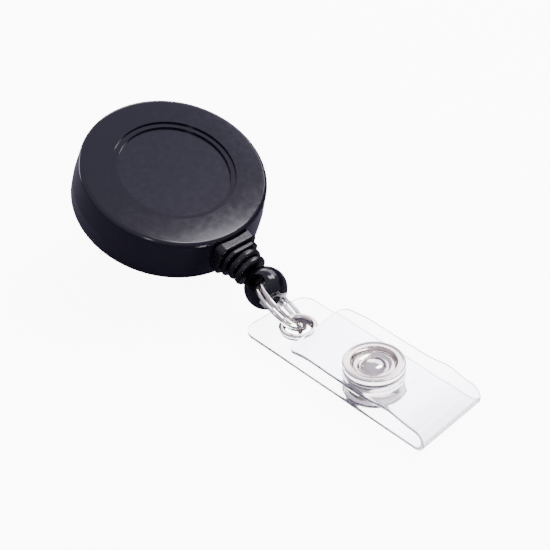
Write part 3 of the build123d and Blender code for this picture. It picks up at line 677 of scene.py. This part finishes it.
# %% Eyelet
EYELET_BORE = 2.15
EYELET_WALL = 0.3
lip = arc(2.78, 0.72, 0.32, -20, 90, 8) + arc(2.6, 0.6, 0.45, 100, 175, 8)
barrel = EYELET_BORE + EYELET_WALL
outline = [(EYELET_BORE, -0.3), (barrel, -0.3), (barrel, 0.6), (3.05, 0.6)] + lip
eyelet = settle(lathe("eyelet_rolled", outline), STRAP, smooth=50)
eyelet.data.materials.append(nickel)
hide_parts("eyelet")
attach(eyelet, "strap")

outline = [(2.46, 0.0), (2.46, -0.28)] + arc(2.72, -0.14, 0.16, 250, 360, 6) + [(2.88, 0.0)]
washer = settle(lathe("eyelet_set_washer", outline), STRAP, smooth=50)
washer.data.materials.append(nickel)
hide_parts("eyelet_washer")
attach(washer, "strap")

# %% [markdown]
# The snap's top half has a broad ring, rolled at both edges, round a shallow well with a dome in
# it. Under the flap is the cup that grips the stud, with a groove round its side.

# %% Snap, top half
SNAP = STRAP @ Matrix.Translation(Vector((SNAP_X, SNAP_Y, 0)) * MM)
outline = [(3.5, 3.62), (3.5, 4.3)] + arc(3.62, 4.42, 0.12, 180, 90, 5) + [(3.95, 4.47), (4.3, 4.49)]
outline += arc(4.5, 4.3, 0.25, 110, -30, 10) + [(4.68, 3.9), (4.6, 3.62)]
snap_ring = settle(lathe("snap_top_ring", outline), SNAP, smooth=50)
snap_ring.data.materials.append(nickel)
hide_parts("snap_ring")
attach(snap_ring, "flap")

dome = [(0.001, 4.42), (0.5, 4.4), (0.95, 4.33), (1.35, 4.2), (1.65, 4.02), (1.85, 3.8), (1.97, 3.66)]
well = [(2.2, 3.63), (2.35, 3.72), (2.6, 3.84), (2.9, 3.88)]
well += [(3.15, 3.82), (3.32, 3.7), (3.4, 3.62), (3.4, 3.6)]
cup = [(2.1, 3.6), (2.1, 3.0), (4.5, 3.0)] + arc(4.5, 2.75, 0.25, 90, 0, 4) + [(4.75, 2.35), (4.45, 2.2)]
cup += [(4.45, 2.05), (4.75, 1.9)] + arc(4.45, 1.55, 0.3, 0, -90, 5)
cup += [(2.05, 1.25), (2.05, 2.9), (0.001, 2.9)]
snap_socket = settle(lathe("snap_socket_cup", dome + well + cup), SNAP, smooth=35)
snap_socket.data.materials.append(nickel)
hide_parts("snap_socket")
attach(snap_socket, "flap")

# %% [markdown]
# The lower half is a stud with a rolled foot that the strap lies on. The stud's head is a little
# wider than its neck, which is what makes the snap click.

# %% Snap, lower half
outline = [(0.001, 2.5), (1.2, 2.5)] + arc(1.35, 2.1, 0.38, 85, -10, 6)
outline += [(1.5, 1.6), (1.6, 1.15), (3.9, 1.1)]
outline += arc(4.0, 0.85, 0.24, 90, -90, 6) + [(1.88, 0.61), (1.88, -0.9), (0.001, -0.9)]
stud = settle(lathe("snap_stud_post", outline), SNAP, smooth=35)
stud.data.materials.append(nickel)
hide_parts("snap_stud")
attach(stud, "strap")

outline = [(2.8, -0.02), (4.35, -0.02)] + arc(4.25, -0.6, 0.5, 70, -75, 10) + [(4.0, -1.2), (3.3, -1.2)]
outline += [(3.1, -1.0), (2.8, -0.95)]
foot = settle(lathe("snap_rolled_foot", outline), SNAP, smooth=50)
foot.data.materials.append(nickel)
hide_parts("snap_base")
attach(foot, "strap")

# %% [markdown]
# ## The split ring
# A split ring is one hard wire wound twice, so that two strands lie side by side nearly all the way
# round, and cross over in one place. A small circle is swept round by the Screw modifier for two
# turns less the ends. Each step of the sweep is then given its own height: flat, a short climb at
# the crossing, and flat again.

# %% Wind the wire
RING_RADIUS = 4.9
WIRE = 0.36
STRAND_OFFSET = 0.46
FIRST_ANGLE = 25
LAST_ANGLE = 695
SECTION_SIDES = 16
SWEEP_STEPS = 200
CLIMB = 20.0
CROSSING_FROM = 335
CROSSING_SPAN = 50
FULL_TURN = 360
ring_way = (ring_end - ball_centre).normalized()
ring_normal = ring_way.cross(across).normalized()
ring_centre = ring_end - ring_way * RING_RADIUS * MM
RING = axes(ring_centre, ring_way, ring_normal)

deselect_all()
bpy.ops.mesh.primitive_circle_add(
    vertices=SECTION_SIDES, radius=WIRE * MM, location=(RING_RADIUS * MM, 0, 0), rotation=(math.pi / 2, 0, 0))
ring = take("split_ring_wire")
bpy.ops.object.transform_apply(location=True, rotation=True, scale=True)
sweep = ring.modifiers.new("sweep", "SCREW")
sweep.axis = "Z"
sweep.angle = math.radians(LAST_ANGLE - FIRST_ANGLE)
sweep.steps = SWEEP_STEPS
sweep.render_steps = SWEEP_STEPS
sweep.screw_offset = CLIMB * MM
apply_all(ring)


def strand_height(angle):
    """The wire's height off the ring's plane at a total angle in degrees."""
    share = min(max((angle - CROSSING_FROM) / CROSSING_SPAN, 0), 1)
    return STRAND_OFFSET * (2 * share * share * (3 - 2 * share) - 1)


whole_sweep = LAST_ANGLE - FIRST_ANGLE
for vertex in ring.data.vertices:
    x, y, z = [value / MM for value in vertex.co]
    bearing = math.degrees(math.atan2(y, x))
    guess = z / CLIMB * whole_sweep
    swept = bearing + FULL_TURN * round((guess - bearing) / FULL_TURN)
    height = z - CLIMB * swept / whole_sweep
    vertex.co.z = (height + strand_height(swept + FIRST_ANGLE)) * MM
choose(ring, lambda part: False, "EDGE")
bpy.ops.mesh.select_non_manifold(extend=False, use_wire=False, use_multi_face=False)
bpy.ops.mesh.fill_holes(sides=0)
bpy.ops.mesh.select_all(action="SELECT")
bpy.ops.mesh.normals_make_consistent(inside=False)
bpy.ops.object.mode_set(mode="OBJECT")
turn_start = Matrix.Rotation(math.radians(FIRST_ANGLE), 4, "Z")
settle(ring, RING @ turn_start, smooth=50)
ring.data.materials.append(nickel)
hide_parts("split_ring")
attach(ring, "ring")

# %% [markdown]
# ## The cord at the ball
# Only a sliver of cord shows between the nozzle's mouth and the ball, and it grows to arm's length
# when the badge is pulled. Here it is a short tube from the nozzle's mouth towards the ball, placed
# in the case's axes.

# %% Cord stub
CORD_DIAMETER = 0.8
CORD_LEVEL = 5.0
NOZZLE_END = 21.1
CORD_STOP = 22.02
deselect_all()
bpy.ops.mesh.primitive_cylinder_add(
    vertices=24, radius=CORD_DIAMETER / 2 * MM, depth=(CORD_STOP - NOZZLE_END) * MM,
    location=((CORD_STOP + NOZZLE_END) / 2 * MM, 0, CORD_LEVEL * MM), rotation=(0, math.pi / 2, 0))
stub = take("cord_stub_braided")
choose(stub, lambda face: abs(face.normal.z) > 0.9)
bpy.ops.mesh.inset(thickness=0.12 * MM, depth=0.0)
bpy.ops.object.mode_set(mode="OBJECT")
settle(stub, CASE, smooth=40)
stub.data.materials.append(braid)
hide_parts("cord_tail")
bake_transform(stub)

# %% Measure and finish
look_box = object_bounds()
for axis, low, high, cad_low, cad_high in zip("xyz", *look_box, *cad_box):
    look_span = round((high - low) / MM, 2)
    cad_span = round((cad_high - cad_low) / MM, 2)
    print(axis, look_span, "mm, engineering model", cad_span, "mm")
